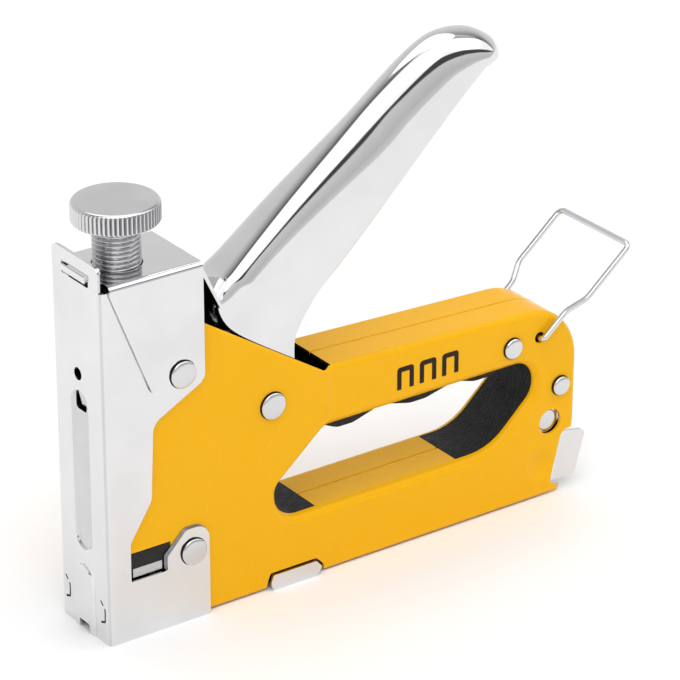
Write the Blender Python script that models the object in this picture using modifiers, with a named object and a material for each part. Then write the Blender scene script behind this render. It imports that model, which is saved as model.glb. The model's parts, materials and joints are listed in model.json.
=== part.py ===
"""Hand staple gun with a squeeze lever, a spring-driven striker, a drawer magazine and a wire bail.

The nose points to -X and the tool stands on z = 0. Design sizes are millimetres: x from the front
face of the nose, y from the middle plane and z from the ground. They become metres on the mesh.
"""

import math

import bmesh
import bpy
from mathutils import Matrix, Vector

MM = 0.001
GAP = 0.3                       # clearance between neighbouring pieces
CENTRE_X = 96.4                 # middle of the overall length, from the tongue to the bail bar

# Pressed steel body
SHELL_HALF_WIDTH = 12.4
SHELL_SHEET = 1.0
SHELL_BOTTOM = 0.5
SEAM = 0.15                     # each half shell stops this far from the middle plane
BODY_BEND = 1.2                 # outer bend radius of the shells' long edges

# Chromed nose and cap
NOSE_HALF_WIDTH = 13.55
NOSE_SHEET = 0.8
NOSE_BEND = 1.5
NOSE_WALL_TOP = 115.2
PLATE_HALF_WIDTH = 12.6         # the front plate where it stands up past the walls
PLATE_TOP = 123.0
PROUD = 1.0                     # how far the arch and the cap's tongue stand in front of the plate
CAP_HALF_WIDTH = 14.55
CAP_TOP = 117.2

# Adjusting screw and striker, all on one vertical axis
STRIKER_X = 14.4
KNOB_RADIUS = 13.25
KNOB_LOW = 130.3
KNOB_HIGH = 137.0
SHANK_RADIUS = 7.3
SHANK_LOW = 100.9
SPRING_LOW = 57.3
SPRING_HIGH = 97.7
SPRING_TURNS = 6
SPRING_RADIUS = 6.4
SPRING_WIRE = 2.0

# Lever
LEVER_PIVOT = (59.8, 62.8)
LEVER_HALF_WIDTH = 10.5
LEVER_SHEET = 1.2

# Rivets: x, z of the axis
CAP_RIVET = (26.8, 83.4)
NOSE_RIVET = (30.0, 23.2)
REAR_TOP_RIVET = (151.2, 56.3)
REAR_MID_RIVET = (170.6, 38.1)
RIVET_SHAFT = 2.3
PIVOT_SHAFT = 3.0

# Magazine drawer and its catch
CHANNEL_HALF_WIDTH = 7.2
CHANNEL_TOP = 17.8
CHANNEL_SHEET = 0.9
RAIL_HALF_WIDTH = 4.7
CATCH_BUTTON = (166.7, 26.3)
CATCH_HINGE_X = 150.0
CATCH_FACE = 10.85              # outer face of a catch arm, inside the shell wall

# Wire bail
BAIL_HOLE = (162.0, 57.1)
BAIL_WIRE = 1.0                 # wire radius
BAIL_LENGTH = 40.3
BAIL_LEAN = math.radians(40.2)

# Outlines: (x, z, corner radius), counterclockwise
BODY_OUTLINE = [
    (2.6, SHELL_BOTTOM, 0.4), (171.2, SHELL_BOTTOM, 1.0), (176.6, 23.0, 12.0),
    (178.0, 65.8, 20.0), (81.2, 69.7, 0.6), (79.6, 68.6, 1.0),
    (34.6, 97.6, 1.0), (30.0, 106.0, 3.0), (2.6, 106.0, 3.0),
]
HAND_OPENING = [
    (61.8, 22.4, 8.5), (144.0, 22.4, 20.0), (160.9, 38.2, 8.0),
    (160.6, 49.6, 7.5), (79.5, 49.6, 5.0), (61.2, 34.0, 5.0),
]
NOSE_OUTLINE = [
    (-1.0, 0.0, 0.0), (35.8, 0.0, 0.6), (35.8, 31.0, 4.8), (27.6, 31.0, 2.6),
    (20.8, 24.0, 0.8), (20.8, 19.5, 0.6), (8.0, 19.5, 0.6), (8.0, 32.4, 3.0),
    (15.7, 44.6, 5.0), (16.9, 69.4, 5.0), (34.0, 78.4, 0.0),
    (34.0, NOSE_WALL_TOP, 2.0), (-1.0, NOSE_WALL_TOP, 0.0),
]
CAP_OUTLINE = [
    (2.8, CAP_TOP, 0.6), (2.8, 114.2, 1.0), (16.6, 79.2, 3.0),
    (34.6, 79.0, 2.6), (34.6, CAP_TOP, 0.6),
]
# Rungs of the lever from the pivot to the tip: back x, z, underside x, z, half width, and how far
# the lower edges curl inwards, in degrees
LEVER_RUNGS = [
    (53.9, 52.4, 67.0, 52.3, 10.5, 0), (50.4, 58.8, 71.0, 59.2, 10.5, 0),
    (49.5, 68.8, 69.5, 69.7, 10.5, 0), (48.4, 82.6, 69.3, 80.6, 10.5, 0),
    (47.6, 97.0, 71.4, 85.5, 10.5, 0), (48.1, 105.0, 74.4, 90.3, 10.5, 0),
    (52.6, 109.4, 79.0, 95.6, 10.5, 0), (71.3, 124.5, 94.5, 109.1, 10.5, 0),
    (92.7, 140.2, 110.3, 123.9, 10.5, 0), (107.4, 151.2, 122.2, 135.5, 10.5, 0),
    (117.7, 158.2, 130.2, 143.5, 10.5, 8), (125.7, 162.1, 135.8, 149.3, 10.4, 20),
    (132.6, 163.2, 139.5, 152.7, 9.9, 35), (139.0, 162.2, 142.4, 154.8, 8.9, 50),
    (144.5, 159.5, 145.8, 155.6, 6.9, 62), (148.1, 156.8, 148.2, 155.0, 4.2, 70),
]
LEVER_BELLY = 3.4               # how far a fully curled edge would reach past the underside
LEVER_TIP = (149.6, 155.4)
LEVER_ROUNDNESS = 2.6           # 2 is an ellipse across the back, larger is squarer
LINER_OUTLINE = [
    (131.0, 22.7, 0.0), (144.0, 22.7, 19.7), (160.6, 38.3, 7.7), (160.3, 49.3, 7.2),
    (79.6, 49.3, 4.7), (61.5, 33.9, 4.7), (62.1, 22.7, 8.2), (77.0, 22.7, 0.0),
    (77.0, 23.7, 0.3), (66.0, 25.2, 6.0), (64.0, 32.8, 4.0), (80.8, 46.2, 5.0),
    (90.0, 44.4, 12.0), (101.5, 48.2, 12.0), (116.0, 44.6, 18.0), (130.5, 48.2, 12.0),
    (141.0, 45.4, 12.0), (156.8, 46.8, 5.0), (157.2, 39.4, 6.0), (143.2, 25.4, 17.0),
    (131.0, 23.7, 0.3),
]


# ---------------------------------------------------------------- helpers

def clear_scene():
    for obj in list(bpy.data.objects):
        bpy.data.objects.remove(obj)


def new_collection(name):
    made = bpy.data.collections.new(name)
    bpy.context.scene.collection.children.link(made)
    return made


def filleted(corners, closed=True, step=math.radians(23)):
    """Points through the corners, each (coordinates..., radius), with an arc at every radius."""
    points = []
    count = len(corners)
    for i, corner in enumerate(corners):
        here, radius = Vector(corner[:-1]), corner[-1]
        end = not closed and i in (0, count - 1)
        if radius == 0 or end:
            points.append(here)
            continue
        back = (Vector(corners[i - 1][:-1]) - here).normalized()
        ahead = (Vector(corners[(i + 1) % count][:-1]) - here).normalized()
        half = back.angle(ahead) / 2
        centre = here + (back + ahead).normalized() * (radius / math.sin(half))
        first = here + back * (radius / math.tan(half)) - centre
        last = here + ahead * (radius / math.tan(half)) - centre
        turn = math.pi - 2 * half
        pieces = max(1, math.ceil(turn / step))
        for k in range(pieces + 1):
            share = k / pieces
            arc = first * math.sin((1 - share) * turn) + last * math.sin(share * turn)
            points.append(centre + arc / math.sin(turn))
    return points


def grown(corners, distance):
    """The same outline moved outwards by distance, or inwards where it is negative."""
    moved = []
    count = len(corners)
    for i, (x, z, radius) in enumerate(corners):
        here = Vector((x, z))
        before = (here - Vector(corners[i - 1][:2])).normalized()
        after = (Vector(corners[(i + 1) % count][:2]) - here).normalized()
        out_before = Vector((before.y, -before.x))
        out_after = Vector((after.y, -after.x))
        side = (out_before + out_after).normalized()
        here = here + side * (distance / side.dot(out_after))
        convex = before.x * after.y - before.y * after.x > 0
        radius = radius + distance if convex else radius - distance
        moved.append((here.x, here.y, max(radius, 0.0)))
    return moved


def material(name, colour, roughness, metallic):
    made = bpy.data.materials.new(name)
    made.use_nodes = True
    shader = made.node_tree.nodes["Principled BSDF"]
    shader.inputs["Base Color"].default_value = (*colour, 1.0)
    shader.inputs["Roughness"].default_value = roughness
    shader.inputs["Metallic"].default_value = metallic
    return made


def add(name, mesh, matrix, paint=None):
    """A new object in the parts, or among the cutters if it has no paint."""
    obj = bpy.data.objects.new(name, mesh)
    obj.matrix_world = matrix
    if paint:
        PARTS.objects.link(obj)
        mesh.materials.clear()
        mesh.materials.append(paint)
    else:
        CUTTERS.objects.link(obj)
        obj.hide_render = True
        obj.display_type = "WIRE"
    return obj


def curve_to_object(curve, matrix, name, paint):
    """Turns a curve into a closed mesh object that Booleans can use."""
    holder = bpy.data.objects.new(name + "_curve", curve)
    holder.matrix_world = matrix
    CUTTERS.objects.link(holder)
    bpy.context.view_layer.update()
    graph = bpy.context.evaluated_depsgraph_get()
    mesh = bpy.data.meshes.new_from_object(holder.evaluated_get(graph))
    bpy.data.objects.remove(holder)
    work = bmesh.new()
    work.from_mesh(mesh)
    bmesh.ops.remove_doubles(work, verts=work.verts, dist=0.002 * MM)
    bmesh.ops.recalc_face_normals(work, faces=work.faces)
    work.to_mesh(mesh)
    work.free()
    return add(name, mesh, matrix, paint)


def slab(name, loops, low, high, axis="Y", paint=None):
    """A flat outline, or several with the inner ones as holes, extruded from low to high.

    Along Y an outline is (x, z), along Z it is (x, y), and along X it is (y, z).
    """
    curve = bpy.data.curves.new(name, "CURVE")
    curve.dimensions = "2D"
    curve.fill_mode = "BOTH"
    curve.extrude = (high - low) / 2 * MM
    for loop in loops:
        spline = curve.splines.new("POLY")
        spline.points.add(len(loop) - 1)
        for place, point in zip(spline.points, loop):
            place.co = (point[0] * MM, point[1] * MM, 0, 1)
        spline.use_cyclic_u = True
    middle = (low + high) / 2 * MM
    if axis == "Y":
        matrix = Matrix.Translation((-CENTRE_X * MM, middle, 0)) @ Matrix.Rotation(math.pi / 2, 4, "X")
    elif axis == "Z":
        matrix = Matrix.Translation((-CENTRE_X * MM, 0, middle))
    else:
        turn = Matrix(((0, 0, 1, 0), (1, 0, 0, 0), (0, 1, 0, 0), (0, 0, 0, 1)))
        matrix = Matrix.Translation((middle - CENTRE_X * MM, 0, 0)) @ turn
    return curve_to_object(curve, matrix, name, paint)


def block(name, x, y, z, paint=None):
    """A box between the given (low, high) pairs."""
    mesh = bpy.data.meshes.new(name)
    work = bmesh.new()
    bmesh.ops.create_cube(work, size=1)
    sizes = [(pair[1] - pair[0]) * MM for pair in (x, y, z)]
    bmesh.ops.scale(work, vec=sizes, verts=work.verts)
    work.to_mesh(mesh)
    work.free()
    centre = Vector([(pair[0] + pair[1]) / 2 * MM for pair in (x, y, z)])
    return add(name, mesh, Matrix.Translation(centre - Vector((CENTRE_X * MM, 0, 0))), paint)


def rod(name, at, radius, low, high, axis="Y", paint=None, sides=14):
    """A cylinder. Along Y its axis is at (x, z), along Z at (x, y), and along X at (y, z)."""
    mesh = bpy.data.meshes.new(name)
    work = bmesh.new()
    length = (high - low) * MM
    bmesh.ops.create_cone(work, cap_ends=True, segments=sides, radius1=radius * MM,
                          radius2=radius * MM, depth=length)
    work.to_mesh(mesh)
    work.free()
    middle = (low + high) / 2
    places = {"Y": (at[0], middle, at[1]), "Z": (at[0], at[1], middle), "X": (middle, *at)}
    turns = {"Y": (math.pi / 2, "X"), "Z": (0, "Z"), "X": (math.pi / 2, "Y")}
    x, y, z = places[axis]
    turn = Matrix.Rotation(turns[axis][0], 4, turns[axis][1])
    matrix = Matrix.Translation(((x - CENTRE_X) * MM, y * MM, z * MM)) @ turn
    return add(name, mesh, matrix, paint)


def turned(name, profile, matrix, paint, sides=24):
    """A solid of revolution about the local Z axis. The profile is (radius, height), top to bottom."""
    mesh = bpy.data.meshes.new(name)
    points = [(r * MM, 0, h * MM) for r, h in profile]
    edges = [(i, i + 1) for i in range(len(points) - 1)]
    mesh.from_pydata(points, edges, [])
    obj = add(name, mesh, matrix, paint)
    spin = obj.modifiers.new("turn", "SCREW")
    spin.steps = sides
    spin.render_steps = sides
    spin.use_merge_vertices = True
    spin.merge_threshold = 0.00001
    return obj


def wire(name, points, radius, paint, resolution=2):
    """A round wire through points given in design millimetres."""
    curve = bpy.data.curves.new(name, "CURVE")
    curve.dimensions = "3D"
    curve.bevel_depth = radius * MM
    curve.bevel_resolution = resolution
    curve.use_fill_caps = True
    spline = curve.splines.new("POLY")
    spline.points.add(len(points) - 1)
    for place, point in zip(spline.points, points):
        place.co = (point[0] * MM, point[1] * MM, point[2] * MM, 1)
    return curve_to_object(curve, Matrix.Translation((-CENTRE_X * MM, 0, 0)), name, paint)


def coil(name, centre, radius, thickness, low, high, turns, paint, steps=12):
    """A vertical compression spring."""
    points = []
    for i in range(turns * steps + 1):
        angle = 2 * math.pi * i / steps
        height = low + thickness / 2 + i / (turns * steps) * (high - low - thickness)
        points.append((centre[0] + radius * math.cos(angle), centre[1] + radius * math.sin(angle), height))
    return wire(name, points, thickness / 2, paint, resolution=1)


def operate(target, kind, others):
    for other in others:
        change = target.modifiers.new(kind.lower(), "BOOLEAN")
        change.operation = kind
        change.solver = "EXACT"
        change.object = other
    return target


def cut(target, *cutters):
    return operate(target, "DIFFERENCE", cutters)


def join(target, *others):
    return operate(target, "UNION", others)


def round_edges(obj, width, segments, chosen):
    """Rounds the sharp edges whose middle, in design millimetres, passes the test."""
    work = bmesh.new()
    work.from_mesh(obj.data)
    layer = work.edges.layers.float.new("bevel_weight_edge")
    for edge in work.edges:
        if len(edge.link_faces) != 2 or edge.calc_face_angle() < math.radians(40):
            continue
        middle = obj.matrix_world @ ((edge.verts[0].co + edge.verts[1].co) / 2)
        place = Vector((middle.x / MM + CENTRE_X, middle.y / MM, middle.z / MM))
        if chosen(place):
            edge[layer] = 1.0
    work.to_mesh(obj.data)
    work.free()
    bevel = obj.modifiers.new("rounded", "BEVEL")
    bevel.limit_method = "WEIGHT"
    bevel.width = width * MM
    bevel.segments = segments
    return obj


def axis_empty(name, x, y, z):
    empty = bpy.data.objects.new(name, None)
    empty.location = ((x - CENTRE_X) * MM, y * MM, z * MM)
    PARTS.objects.link(empty)
    return empty


def carry(empty, *pieces):
    """Parents the pieces to the empty without moving them."""
    bpy.context.view_layer.update()
    for piece in pieces:
        piece.parent = empty
        piece.matrix_parent_inverse = empty.matrix_world.inverted()


def along_y(x, z):
    """A frame whose local Z is the row's -Y, at x, z."""
    place = Matrix.Translation(((x - CENTRE_X) * MM, 0, z * MM))
    return place @ Matrix.Rotation(math.pi / 2, 4, "X")


def upright(x, y):
    return Matrix.Translation(((x - CENTRE_X) * MM, y * MM, 0))


# ---------------------------------------------------------------- body

def shell_cutters():
    """Everything taken out of the two half shells."""
    outline = [filleted(grown(BODY_OUTLINE, -SHELL_SHEET))]
    outline.append(filleted(grown(HAND_OPENING, SHELL_SHEET)))
    inner = SHELL_HALF_WIDTH - SHELL_SHEET
    front = [(-5, -5), (58.5, -5), (58.5, 36), (76, 52.5), (82, 52.5), (82, 90), (35, 130), (-5, 130)]
    below = [(50, -5), (190, -5), (190, 33), (163.5, 33), (163.5, 20.9), (50, 20.9)]
    lug = [(56.9, -1, 0), (78.9, -1, 0), (78.4, 3, 1), (75.6, 5.8, 1), (58.6, 5.8, 1), (57.4, 3, 1)]
    wing = [(166.6, 2.6, 3), (182, 2.6, 0), (182, 22.0, 0), (171.5, 22.0, 3)]
    cutters = [
        slab("cavity", outline, -inner, inner),
        slab("front_space", [front], -inner, inner),
        slab("lower_space", [below], -inner, inner),
        slab("hand_hole", [filleted(HAND_OPENING)], -20, 20),
        slab("window_relief", [[(0, -5), (22.7, -5), (22.7, 28.4), (0, 28.4)]], -20, 20),
        slab("lug_notch", [filleted(lug)], -20, 20),
        slab("wing_notch", [filleted(wing)], -20, 20),
        rod("catch_hole", CATCH_BUTTON, 4.3, -20, 20),
        rod("bail_hole", BAIL_HOLE, BAIL_WIRE + GAP, -20, 20, sides=12),
        rod("pivot_hole", LEVER_PIVOT, PIVOT_SHAFT + GAP, -20, 20),
    ]
    rivets = (CAP_RIVET, NOSE_RIVET, REAR_TOP_RIVET, REAR_MID_RIVET)
    for i, place in enumerate(rivets):
        cutters.append(rod(f"rivet_hole_{i}", place, RIVET_SHAFT + GAP, -20, 20))
    return cutters


def body_shells(paint):
    cutters = shell_cutters()
    sides = (("left_body_shell", -1), ("right_body_shell", 1))
    for name, side in sides:
        low, high = sorted((side * SEAM, side * SHELL_HALF_WIDTH))
        shell = slab(name, [filleted(BODY_OUTLINE)], low, high, paint=paint)
        outer = side * SHELL_HALF_WIDTH
        round_edges(shell, BODY_BEND, 2, lambda p, y=outer: abs(p.y - y) < 0.01)
        cut(shell, *cutters)


def front_housing(paint):
    inner = NOSE_HALF_WIDTH - NOSE_SHEET
    bend = NOSE_BEND - NOSE_SHEET
    plan = filleted([
        (40, -NOSE_HALF_WIDTH, 0), (40, -inner, 0), (NOSE_SHEET, -inner, bend),
        (NOSE_SHEET, inner, bend), (40, inner, 0), (40, NOSE_HALF_WIDTH, 0),
        (0, NOSE_HALF_WIDTH, NOSE_BEND), (0, -NOSE_HALF_WIDTH, NOSE_BEND),
    ])
    housing = slab("front_housing", [plan], 0, NOSE_WALL_TOP, "Z", paint)
    operate(housing, "INTERSECT", [slab("nose_side", [filleted(NOSE_OUTLINE)], -20, 20)])
    plate = filleted([(-PLATE_HALF_WIDTH, 100, 0), (PLATE_HALF_WIDTH, 100, 0),
                      (PLATE_HALF_WIDTH, PLATE_TOP, 2.4), (-PLATE_HALF_WIDTH, PLATE_TOP, 2.4)])
    arch = filleted([(-5.4, 0, 0), (5.4, 0, 0), (5.4, 22.3, 5.3), (-5.4, 22.3, 5.3)])
    arch_hollow = filleted([(-4.6, -1, 0), (4.6, -1, 0), (4.6, 21.5, 4.5), (-4.6, 21.5, 4.5)])
    join(housing,
         slab("top_plate", [plate], 0, NOSE_SHEET, "X"),
         slab("arch", [arch], -PROUD, NOSE_SHEET, "X"))
    groove = filleted([(-5.0, 27.0, 4.99), (5.0, 27.0, 4.99), (5.0, 80.0, 4.99), (-5.0, 80.0, 4.99)])
    tongue_slot = filleted([(-9.6, 116.0, 0.8), (9.6, 116.0, 0.8), (9.6, 120.4, 0.8), (-9.6, 120.4, 0.8)])
    staple_exit = [(-2.8, -1), (2.8, -1), (2.8, 3.0), (-2.8, 3.0)]
    cut(housing,
        slab("arch_hollow", [arch_hollow], NOSE_SHEET - PROUD, 1.0, "X"),
        slab("groove", [groove], -3, 1.0, "X"),
        slab("tongue_slot", [tongue_slot], -3, 2.0, "X"),
        slab("staple_exit", [staple_exit], -3, 2.0, "X"),
        rod("peep_hole", (0, 85.3), 2.0, -3, 2.0, "X"),
        rod("housing_cap_hole", CAP_RIVET, RIVET_SHAFT + GAP, -20, 20),
        rod("housing_nose_hole", NOSE_RIVET, RIVET_SHAFT + GAP, -20, 20))


def top_cap(paint):
    cap = slab("top_cap", [filleted(CAP_OUTLINE)], -CAP_HALF_WIDTH, CAP_HALF_WIDTH, paint=paint)
    round_edges(cap, 0.9, 2, lambda p: abs(abs(p.y) - CAP_HALF_WIDTH) < 0.01 and p.z > 116)
    inner = CAP_HALF_WIDTH - NOSE_SHEET
    under = CAP_TOP - NOSE_SHEET
    cut(cap, block("cap_space", (-5, 60), (-inner, inner), (60, under)))
    flap = [(33.6, under, 0), (34.0, CAP_TOP - 0.1, 0.3), (34.9, CAP_TOP - 0.1, 0.3), (42.3, 99.8, 0), (41.4, 99.4, 0)]
    tongue = [(-PROUD, under), (3.4, under), (3.4, CAP_TOP), (-GAP, CAP_TOP), (-GAP, 119.0), (-PROUD, 119.0)]
    join(cap,
         slab("cap_flap", [filleted(flap)], -12.4, 12.4),
         slab("cap_tongue", [tongue], -8.4, 8.4))
    cut(cap,
        rod("screw_hole", (STRIKER_X, 0), SHANK_RADIUS + GAP, 100, 125, "Z"),
        rod("cap_rivet_hole", CAP_RIVET, RIVET_SHAFT + GAP, -20, 20))


def grip_liner(paint):
    liner = slab("grip_liner", [filleted(LINER_OUTLINE)], -11.6, 11.6, paint=paint)
    round_edges(liner, 0.5, 1, lambda p: abs(abs(p.y) - 11.6) < 0.01)


def rivet(name, at, shaft, head, seat, paint):
    """A shaft through the whole width with a low dome on each side."""
    rise = 1.5
    top = []
    for i in range(3):
        angle = math.radians(90 - 35 * i)
        top.append((head * math.cos(angle), seat + 0.4 + (rise - 0.4) * math.sin(angle)))
    top.append((head, seat))
    profile = top + [(shaft, seat)]
    profile += [(r, -h) for r, h in reversed(profile)]
    turned(name, profile, along_y(*at), paint, sides=14)


def sleeve(name, at, inner, outer, half_length, paint):
    profile = [(inner, half_length), (outer, half_length), (outer, -half_length), (inner, -half_length), (inner, half_length)]
    turned(name, profile, along_y(*at), paint, sides=12)


def rivets_and_sleeves(paint, steel):
    on_body = SHELL_HALF_WIDTH + 0.2
    rivet("cap_rivet", CAP_RIVET, RIVET_SHAFT, 4.2, CAP_HALF_WIDTH + 0.2, paint)
    rivet("nose_rivet", NOSE_RIVET, RIVET_SHAFT, 4.2, NOSE_HALF_WIDTH + 0.2, paint)
    rivet("lever_pivot_rivet", LEVER_PIVOT, PIVOT_SHAFT, 4.2, on_body, paint)
    rivet("rear_top_rivet", REAR_TOP_RIVET, RIVET_SHAFT, 3.4, on_body, paint)
    rivet("rear_mid_rivet", REAR_MID_RIVET, RIVET_SHAFT, 3.2, on_body, paint)
    inside = SHELL_HALF_WIDTH - SHELL_SHEET - GAP
    places = (("cap_sleeve", CAP_RIVET), ("nose_sleeve", NOSE_RIVET),
              ("rear_top_sleeve", REAR_TOP_RIVET), ("rear_mid_sleeve", REAR_MID_RIVET))
    for name, at in places:
        sleeve(name, at, RIVET_SHAFT + GAP, RIVET_SHAFT + 1.3, inside, steel)


# ---------------------------------------------------------------- striker and adjuster

def striker(steel, hard_steel, rubber, black):
    block("guide_block", (5.0, 22.4), (-12.3, 12.3), (23.2, 28.1), black)
    block("magazine_lock_plate", (9.4, 19.6), (-12.2, 12.2), (20.0, 22.9), steel)
    block("plunger_bumper", (7.0, 22.0), (-8.0, 8.0), (28.4, 34.7), rubber)
    block("nose_guide_plate", (1.1, 2.1), (-8.5, 8.5), (1.0, 66.5), steel)
    plunger = block("plunger", (6.2, 22.6), (-8.2, 8.2), (35.0, 57.0), hard_steel)
    join(plunger, block("lift_lug", (20.0, 33.0), (-4.0, 4.0), (54.1, 57.0)))
    cut(plunger, slab("plunger_window", [filleted([(9, 39, 1), (19, 39, 1), (19, 52, 1), (9, 52, 1)])], -20, 20))
    blade = block("driver_blade", (2.4, 3.5), (-5.6, 5.6), (4.0, 56.0), hard_steel)
    join(blade, block("blade_hook", (3.2, 5.9), (-3.0, 3.0), (44.0, 48.0)))
    coil("main_spring", (STRIKER_X, 0), SPRING_RADIUS, SPRING_WIRE, SPRING_LOW, SPRING_HIGH, SPRING_TURNS, steel)
    return plunger, blade


def adjuster(chrome, steel):
    nut = slab("adjuster_nut", [[(STRIKER_X + 12.1 * math.cos(math.radians(60 * i)),
                                  12.1 * math.sin(math.radians(60 * i))) for i in range(6)]],
               107.0, 116.1, "Z", steel)
    cut(nut, rod("nut_bore", (STRIKER_X, 0), SHANK_RADIUS + GAP, 100, 125, "Z"))
    knob_profile = [
        (0, KNOB_HIGH), (12.4, KNOB_HIGH), (KNOB_RADIUS, KNOB_HIGH - 0.9), (KNOB_RADIUS, KNOB_LOW + 0.9),
        (12.4, KNOB_LOW), (SHANK_RADIUS, KNOB_LOW), (SHANK_RADIUS, SHANK_LOW + 1.0),
        (SHANK_RADIUS - 1.0, SHANK_LOW), (0, SHANK_LOW),
    ]
    knob = turned("adjusting_knob", knob_profile, upright(STRIKER_X, 0), chrome, sides=32)
    seat_profile = [(0, 100.6), (8.0, 100.6), (8.0, 98.0), (5.0, 98.0), (5.0, 95.5), (0, 95.5)]
    seat = turned("spring_seat", seat_profile, upright(STRIKER_X, 0), steel, sides=20)
    return knob, seat


# ---------------------------------------------------------------- lever

def lever_skin(inset, points):
    """Grid of points over the lever's back, moved inwards by the inset, ending in one tip point."""
    grid = []
    power = 2 / LEVER_ROUNDNESS
    for back_x, back_z, under_x, under_z, half_width, curl in LEVER_RUNGS:
        back, under = Vector((back_x, back_z)), Vector((under_x, under_z))
        down = (under - back).normalized()
        curl = math.radians(curl)
        row = []
        for j in range(points + 1):
            angle = (math.pi + 2 * curl) * j / points - curl
            across = math.copysign(abs(math.cos(angle)) ** power, math.cos(angle))
            along = abs(math.sin(angle)) ** power
            if angle < 0 or angle > math.pi:
                place = under + down * along * (LEVER_BELLY - inset)
            else:
                place = under.lerp(back + down * inset, along)
            row.append((place.x, (half_width - inset) * across, place.y))
        grid.append(row)
    tip = (LEVER_TIP[0] - inset, 0.0, LEVER_TIP[1])
    grid.append([tip] * (points + 1))
    return grid


def sheet_from_grids(name, outer, inner, paint):
    """A closed sheet between two grids of the same size, whose last rows are single points."""
    work = bmesh.new()
    sides = []
    for grid in (outer, inner):
        rows = [[work.verts.new(((x - CENTRE_X) * MM, y * MM, z * MM)) for x, y, z in row] for row in grid]
        sides.append(rows)
    for rows in sides:
        for low, high in zip(rows, rows[1:]):
            for j in range(len(low) - 1):
                work.faces.new((low[j], low[j + 1], high[j + 1], high[j]))
    out, within = sides
    for j in (0, len(out[0]) - 1):
        for i in range(len(out) - 1):
            work.faces.new((out[i][j], out[i + 1][j], within[i + 1][j], within[i][j]))
    for j in range(len(out[0]) - 1):
        work.faces.new((out[0][j], out[0][j + 1], within[0][j + 1], within[0][j]))
    bmesh.ops.remove_doubles(work, verts=work.verts, dist=0.001 * MM)
    bmesh.ops.recalc_face_normals(work, faces=work.faces)
    mesh = bpy.data.meshes.new(name)
    work.to_mesh(mesh)
    work.free()
    return add(name, mesh, Matrix.Identity(4), paint)


def lever(chrome, steel):
    handle = sheet_from_grids("lever_handle", lever_skin(0.0, 10), lever_skin(LEVER_SHEET, 10), chrome)
    cut(handle, block("lever_mouth", (40, 57.5), (-7.5, 7.5), (45, 78)),
        rod("lever_pivot_hole", LEVER_PIVOT, PIVOT_SHAFT + GAP, -20, 20),
        rod("arm_pin_hole", (60.5, 75.0), 2.0 + GAP, -20, 20, sides=12))
    arm_outline = [
        (28.1, 49.4, 2.19), (34.0, 49.4, 3), (55.0, 53.5, 8), (68.0, 54.5, 6), (67.5, 66.0, 6),
        (65.5, 79.5, 4.4), (55.8, 79.5, 4.4), (52.0, 66.5, 8), (36.0, 53.8, 3), (28.1, 53.8, 2.19),
    ]
    arm = slab("striker_arm", [filleted(arm_outline)], -2.4, 2.4, paint=steel)
    cut(arm, rod("arm_pivot_hole", LEVER_PIVOT, PIVOT_SHAFT + GAP, -20, 20),
        rod("arm_hole", (60.5, 75.0), 2.0 + GAP, -20, 20, sides=12))
    pin = rod("arm_pin", (60.5, 75.0), 2.0, -10.4, 10.4, paint=steel, sides=16)
    return handle, arm, pin


def lever_return_spring(steel):
    """Torsion spring round the pivot rivet, beside the striker arm."""
    points = [(52.0, 3.1, 49.0)]
    turns, steps, radius = 3, 12, 4.6
    for i in range(turns * steps + 1):
        angle = math.radians(200) + 2 * math.pi * i / steps
        x = LEVER_PIVOT[0] + radius * math.cos(angle)
        z = LEVER_PIVOT[1] + radius * math.sin(angle)
        points.append((x, 3.1 + 1.15 * i / steps, z))
    points.append((51.5, points[-1][1], 66.0))
    wire("lever_return_spring", points, 0.5, steel, resolution=1)


# ---------------------------------------------------------------- magazine

def magazine(chrome, steel, black, spring_steel):
    half, top, sheet = CHANNEL_HALF_WIDTH, CHANNEL_TOP, CHANNEL_SHEET
    section = [(-half, 0.8), (-half + sheet, 0.8), (-half + sheet, top - sheet), (half - sheet, top - sheet),
               (half - sheet, 0.8), (half, 0.8), (half, top), (-half, top)]
    channel = slab("magazine_channel", [section], 4.2, 146.0, "X", chrome)
    lug = filleted([(59.2, 0, 0.4), (75.2, 0, 0.4), (77.4, 2.6, 0.8), (75.2, 5.2, 0.8), (59.2, 5.2, 0.8), (58.2, 2.6, 0.8)])
    for side in (-1, 1):
        low, high = sorted((side * (half - 0.4), side * 13.2))
        join(channel, slab(f"channel_lug_{side}", [lug], low, high))
    rail_half, rail_sheet = RAIL_HALF_WIDTH, 0.8
    rail_section = [(-rail_half, 1.4), (rail_half, 1.4), (rail_half, 9.0), (rail_half - rail_sheet, 9.0),
                    (rail_half - rail_sheet, 1.4 + rail_sheet), (-rail_half + rail_sheet, 1.4 + rail_sheet),
                    (-rail_half + rail_sheet, 9.0), (-rail_half, 9.0)]
    rail = slab("staple_rail", [rail_section], 5.0, 146.7, "X", chrome)
    plan = filleted([(147, -9.7, 0.5), (152, -9.7, 0.5), (152, -7.0, 0), (171, -7.0, 1), (171, 7.0, 1),
                     (152, 7.0, 0), (152, 9.7, 0.5), (147, 9.7, 0.5)])
    end_block = slab("rail_end_block", [plan], 1.6, 19.0, "Z", black)
    guide = rod("follower_guide_rod", (0, 5.6), 1.1, 8.0, 146.6, "X", steel, 12)
    tube = [(1.6, 146.5), (2.8, 146.5), (2.8, 27.0), (1.6, 27.0), (1.6, 146.5)]
    lying = Matrix.Translation((-CENTRE_X * MM, 0, 5.6 * MM)) @ Matrix.Rotation(math.pi / 2, 4, "Y")
    spring = turned("follower_spring", tube, lying, spring_steel, 12)
    saddle = [(-5.9, 3.0), (-5.0, 3.0), (-5.0, 9.4), (5.0, 9.4), (5.0, 3.0), (5.9, 3.0), (5.9, 16.4), (-5.9, 16.4)]
    follower = slab("staple_follower", [saddle], 6.0, 26.0, "X", steel)
    cut(follower, block("follower_hollow", (9.0, 23.0), (-4.8, 4.8), (10.6, 20.0)))
    return rail, end_block, guide, spring, follower


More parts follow.
